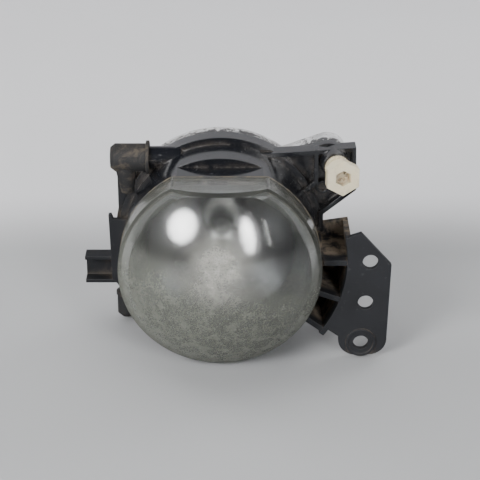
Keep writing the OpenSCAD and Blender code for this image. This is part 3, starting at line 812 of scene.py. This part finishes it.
class FOG_OT_housing(bpy.types.Operator):
    """Finish the black front housing, its bracket and tab, and the silver rear housing"""

    bl_idname = "fog.housing"
    bl_label = "Housing finishes"

    def execute(self, context):
        dress("front_housing", "gloss_black")
        dress("mount_bracket", "bracket_black")
        dress("locating_tab", "tab_black")
        dress("rear_housing", "flaking_silver")
        dress("housing_gasket", "plain_rubber")
        dress("housing_screws", "plated_steel")
        return {"FINISHED"}


class FOG_OT_lens(bpy.types.Operator):
    """Finish the glass, its sealant and the bezel behind it"""

    bl_idname = "fog.lens"
    bl_label = "Lens finishes"

    def execute(self, context):
        dress("lens", "lens_glass")
        dress("lens_seal", "sealant")
        dress("inner_bezel", "satin_bezel")
        return {"FINISHED"}


class FOG_OT_lens_film(bpy.types.Operator):
    """Lay the film of dust over the dome"""

    bl_idname = "fog.lens_film"
    bl_label = "Lens film"

    def execute(self, context):
        gap = context.scene.fog_detail.film_gap
        centre, radius, edge, flat = lens_dome()
        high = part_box("lens")[1]
        steps, sides = 40, 160
        dome = [(edge * step / steps, flat * step / steps, None) for step in range(1, steps + 1)]
        skirt = [(high.x + gap, flat + gap, y) for y in (-gap, high.y * 0.5, high.y - 0.3 * MM)]
        bm = bmesh.new()
        rings = []
        for out, top, y in dome + skirt:
            ring = []
            for i in range(sides):
                turn = 2 * math.pi * i / sides
                rise = math.sin(turn)
                reach = top / rise if out * rise > top else out
                depth = y
                if y is None:
                    depth = centre.y - math.sqrt((radius + gap) ** 2 - reach * reach)
                ring.append(bm.verts.new((reach * math.cos(turn), depth, reach * rise)))
            rings.append(ring)
        skin(bm, rings)
        tip = bm.verts.new(centre + Vector((0, -radius - gap, 0)))
        for i in range(sides):
            bm.faces.new((tip, rings[0][i], rings[0][(i + 1) % sides]))
        new_piece("lens_film", bm, "lens_film", "lamp")
        return {"FINISHED"}


class FOG_OT_reflector(bpy.types.Operator):
    """Finish the reflector, its pivots and its rear seal"""

    bl_idname = "fog.reflector"
    bl_label = "Reflector finishes"

    def execute(self, context):
        dress("reflector", "mirror_bowl")
        for node in ("pivot_pin_left", "pivot_pin_right", "seal_ring"):
            dress(node, "plated_steel")
        dress("rear_seal", "plain_rubber")
        return {"FINISHED"}


class FOG_OT_aiming(bpy.types.Operator):
    """Finish the aiming screw and its nut"""

    bl_idname = "fog.aiming"
    bl_label = "Aiming screw finishes"

    def execute(self, context):
        dress("adjuster_screw", "natural_nylon")
        dress("adjuster_nut", "natural_nylon")
        dress("adjuster_oring", "plain_rubber")
        dress("adjuster_clip", "plated_steel")
        return {"FINISHED"}


class FOG_OT_screw_thread(bpy.types.Operator):
    """Cut the thread and the knurled collar of the aiming screw"""

    bl_idname = "fog.screw_thread"
    bl_label = "Screw thread"

    def execute(self, context):
        detail = context.scene.fog_detail
        start, length_along, core = 31.0 * MM, 8.8 * MM, 2.5 * MM
        turns = length_along / detail.thread_pitch
        steps = int(turns * 36)
        run_out, least = 12, 0.02 * MM
        path, radii = [], []
        for i in range(steps + 1):
            part = i / steps
            path.append(on_screw(start + length_along * part, 2 * math.pi * turns * part, core))
            fullness = min(1.0, i / run_out, (steps - i) / run_out)
            radii.append(detail.thread_depth * 0.5 * fullness + least)
        bm = bmesh.new()
        tube(bm, path, radii, 8)
        new_piece("screw_thread", bm, "natural_nylon", "aiming_screw")
        ridges, first, spacing, collar = 30, 13.2 * MM, 0.4 * MM, 5.4 * MM
        swell = [v * MM for v in (0.15, 0.32, 0.34, 0.32, 0.15)]
        bm = bmesh.new()
        for i in range(ridges):
            turn = 2 * math.pi * i / ridges
            path = [on_screw(first + k * spacing, turn, collar) for k in range(len(swell))]
            tube(bm, path, swell, 8)
        new_piece("screw_knurl", bm, "natural_nylon", "aiming_screw")
        return {"FINISHED"}


class FOG_OT_bulb(bpy.types.Operator):
    """Finish the bulb and its holder"""

    bl_idname = "fog.bulb"
    bl_label = "Bulb finishes"

    def execute(self, context):
        dress("bulb_glass", "bulb_clear")
        dress("bulb_filament", "tungsten")
        dress("bulb_collar", "plated_steel")
        dress("bulb_base", "bulb_holder")
        dress("bulb_oring", "red_rubber")
        dress("bulb_terminals", "tinned_brass")
        return {"FINISHED"}


class FOG_OT_filament(bpy.types.Operator):
    """Wind the filament's coil and bend its two supports"""

    bl_idname = "fog.filament"
    bl_label = "Filament coil"

    def execute(self, context):
        detail = context.scene.fog_detail
        low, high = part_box("bulb_filament")
        y = low.y + detail.coil_radius
        z = (low.z + high.z) / 2
        bow, support = 0.25 * MM, 0.28 * MM
        half = (high.x - low.x) / 2 - bow
        turns, each = 13, 14
        count = turns * each
        wound = detail.coil_radius * 0.8
        coil = []
        for i in range(count + 1):
            turn = 2 * math.pi * i / each
            x = -half + 2 * half * i / count
            coil.append(Vector((x, y + wound * math.cos(turn), z + wound * math.sin(turn))))
        bm = bmesh.new()
        tube(bm, coil, detail.wire_radius, 6)
        steps = 8
        for side in (-1, 1):
            top = Vector((side * half, y, z))
            foot = Vector((side * half * 0.92, high.y, z))
            path = []
            for i in range(steps + 1):
                out = side * bow * math.sin(math.pi * i / steps)
                path.append(top.lerp(foot, i / steps) + Vector((out, 0, 0)))
            tube(bm, path, support, 8)
        coil_piece = new_piece("filament_coil", bm, "tungsten", "bulb")
        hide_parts("bulb_filament")
        return {"FINISHED"}


class FOG_OT_vent(bpy.types.Operator):
    """Finish the vent elbow, its channel and its foot"""

    bl_idname = "fog.vent"
    bl_label = "Vent finishes"

    def execute(self, context):
        dress("vent_elbow", "dusty_rubber")
        dress("vent_duct", "duct_black")
        dress("vent_foot", "dusty_rubber")
        return {"FINISHED"}


class FOG_OT_mouldings(bpy.types.Operator):
    """Add the boot's parting slits and the fin on the vent tube"""

    bl_idname = "fog.mouldings"
    bl_label = "Vent mouldings"

    def execute(self, context):
        low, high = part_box("vent_elbow")
        boot = context.scene.fog_detail.boot_radius
        middle = Vector((low.x, high.y - boot, high.z - boot))
        reach = boot - 1.35 * MM
        bm = bmesh.new()
        for start, end in ((4.5, 8.2), (10.0, 13.4)):
            for turn in (math.radians(18), math.radians(162)):
                path = []
                for x in (start, (start + end) / 2, end):
                    out = (x * MM, -math.cos(turn) * reach, math.sin(turn) * reach)
                    path.append(middle + Vector(out))
                tube(bm, path, [0.12 * MM, 0.22 * MM, 0.12 * MM], 6)
        new_piece("boot_slits", bm, "slit_black", "lamp")
        root = Vector((high.x, middle.y - 5.2 * MM, middle.z))
        bm = bmesh.new()
        block(
            bm,
            root + Vector((0, -0.5, -0.6)) * MM,
            root + Vector((5.6, 0.8, 0.2)) * MM,
            round_off=0.15 * MM,
        )
        new_piece("tube_fin", bm, "gloss_black", "lamp")
        return {"FINISHED"}


class FOG_OT_grips(bpy.types.Operator):
    """Rib the sides of the bulb's plug socket"""

    bl_idname = "fog.grips"
    bl_label = "Socket ribs"

    def execute(self, context):
        count = context.scene.fog_detail.grip_ribs
        low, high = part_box("bulb_base")
        wall, first, spacing = 9.0, 3.0, 2.2
        bm = bmesh.new()
        for side in (-1, 1):
            for i in range(count):
                foot = Vector((side * wall * MM, high.y, low.z + (first + spacing * i) * MM))
                block(
                    bm,
                    foot + Vector((-0.35, -10.5, 0.0)) * MM,
                    foot + Vector((0.35, -3.0, 1.0)) * MM,
                    round_off=0.2 * MM,
                )
        new_piece("socket_ribs", bm, "bulb_holder", "bulb")
        return {"FINISHED"}


class FOG_OT_stage(bpy.types.Operator):
    """Set up the paper sweep, the soft boxes and the camera"""

    bl_idname = "fog.stage"
    bl_label = "Studio"

    def execute(self, context):
        self.paper(context)
        self.lights(context)
        self.camera(context)
        return {"FINISHED"}

    def paper(self, context):
        """Floor that sweeps up into the backdrop."""
        look = context.scene.fog_stage
        reach, wall_height, steps = 2.5, 2.4, 24
        floor = CAD_LOW.z - 0.2 * MM
        start, radius = look.sweep_start, look.sweep_radius
        profile = [(-reach, floor), (start, floor)]
        for i in range(1, steps + 1):
            turn = math.pi / 2 * i / steps
            rise = radius * (1 - math.cos(turn))
            profile.append((start + radius * math.sin(turn), floor + rise))
        profile.append((start + radius, floor + wall_height))
        bm = bmesh.new()
        rows = [[bm.verts.new((x, y, z)) for y, z in profile] for x in (-reach, reach)]
        for i in range(len(profile) - 1):
            bm.faces.new((rows[0][i], rows[1][i], rows[1][i + 1], rows[0][i + 1]))
        new_object("paper_sweep", bm, "backdrop_paper")

    def soft_box(self, name, toward, far, size, power, diffuse=True, glossy=True):
        """Area light in a direction from the lamp, at a distance, aimed at it."""
        place = Vector(toward).normalized() * far
        data = bpy.data.lights.new(name, "AREA")
        data.shape = "ELLIPSE"
        data.size, data.size_y = size
        data.energy = power
        light = link(name, data)
        light.location = place
        light.rotation_mode = "QUATERNION"
        light.rotation_quaternion = (-place).to_track_quat("-Z", "Y")
        light.visible_diffuse = diffuse
        light.visible_glossy = glossy

    def lights(self, context):
        """Two boxes in front with bright cores, a strip, boxes above and behind, and the room."""
        left, right, strip = (-0.54, -0.70, 0.47), (0.406, -0.83, 0.383), (0.675, -0.669, 0.36)
        front, above, behind = 1.1, 1.6, 1.2
        self.soft_box("left_box", left, front, (0.50, 0.56), 13.0)
        self.soft_box("left_core", left, front, (0.42, 0.48), 60.0, diffuse=False)
        self.soft_box("right_box", right, front, (0.22, 0.66), 6.0)
        self.soft_box("right_core", right, front, (0.20, 0.56), 36.0, diffuse=False)
        self.soft_box("right_strip", strip, front, (0.025, 0.42), 0.5, diffuse=False)
        self.soft_box("top_box", (0.0, 0.25, 1.0), above, (2.0, 1.8), 17.0, glossy=False)
        self.soft_box("back_left", (-0.75, 0.55, 0.75), behind, (0.5, 0.5), 3.0)
        self.soft_box("back_right", (0.75, 0.65, 0.65), behind, (0.5, 0.5), 3.0)
        world = bpy.data.worlds.new("room")
        world.use_nodes = True
        sky = world.node_tree.nodes["Background"].inputs
        sky["Color"].default_value = (0.92, 0.94, 1.0, 1)
        sky["Strength"].default_value = 0.09
        context.scene.world = world

    def camera(self, context):
        """Camera in front of the lamp, above it and looking down."""
        look = context.scene.fog_stage
        data = bpy.data.cameras.new("camera")
        data.lens = look.focal_length
        data.sensor_width = 36.0
        camera = link("camera", data)
        camera.location = (0.0088, -0.588, 0.2775)
        camera.rotation_euler = (math.pi / 2 - look.tilt, 0, 0)
        context.scene.camera = camera


class FOG_PT_panel(bpy.types.Panel):
    """Buttons for every step of the fog light"""

    bl_idname = "FOG_PT_panel"
    bl_label = "Fog light"
    bl_space_type = "VIEW_3D"
    bl_region_type = "UI"
    bl_category = "Fog light"

    def draw(self, context):
        for step in STEPS:
            self.layout.operator(step.bl_idname)
        scene = context.scene
        for settings in (scene.fog_finish, scene.fog_detail, scene.fog_stage):
            box = self.layout.box()
            for name in settings.__annotations__:
                box.prop(settings, name)


STEPS = (
    FOG_OT_stage,
    FOG_OT_housing,
    FOG_OT_lens,
    FOG_OT_lens_film,
    FOG_OT_reflector,
    FOG_OT_aiming,
    FOG_OT_screw_thread,
    FOG_OT_bulb,
    FOG_OT_filament,
    FOG_OT_vent,
    FOG_OT_mouldings,
    FOG_OT_grips,
)
CLASSES = (FogFinishSettings, FogDetailSettings, FogStageSettings, *STEPS, FOG_PT_panel)


def register():
    for cls in CLASSES:
        bpy.utils.register_class(cls)
    bpy.types.Scene.fog_finish = PointerProperty(type=FogFinishSettings)
    bpy.types.Scene.fog_detail = PointerProperty(type=FogDetailSettings)
    bpy.types.Scene.fog_stage = PointerProperty(type=FogStageSettings)


def unregister():
    del bpy.types.Scene.fog_stage
    del bpy.types.Scene.fog_detail
    del bpy.types.Scene.fog_finish
    for cls in reversed(CLASSES):
        bpy.utils.unregister_class(cls)


def main():
    register()
    for step in STEPS:
        section, name = step.bl_idname.split(".")
        getattr(getattr(bpy.ops, section), name)()


if __name__ == "__main__":
    main()
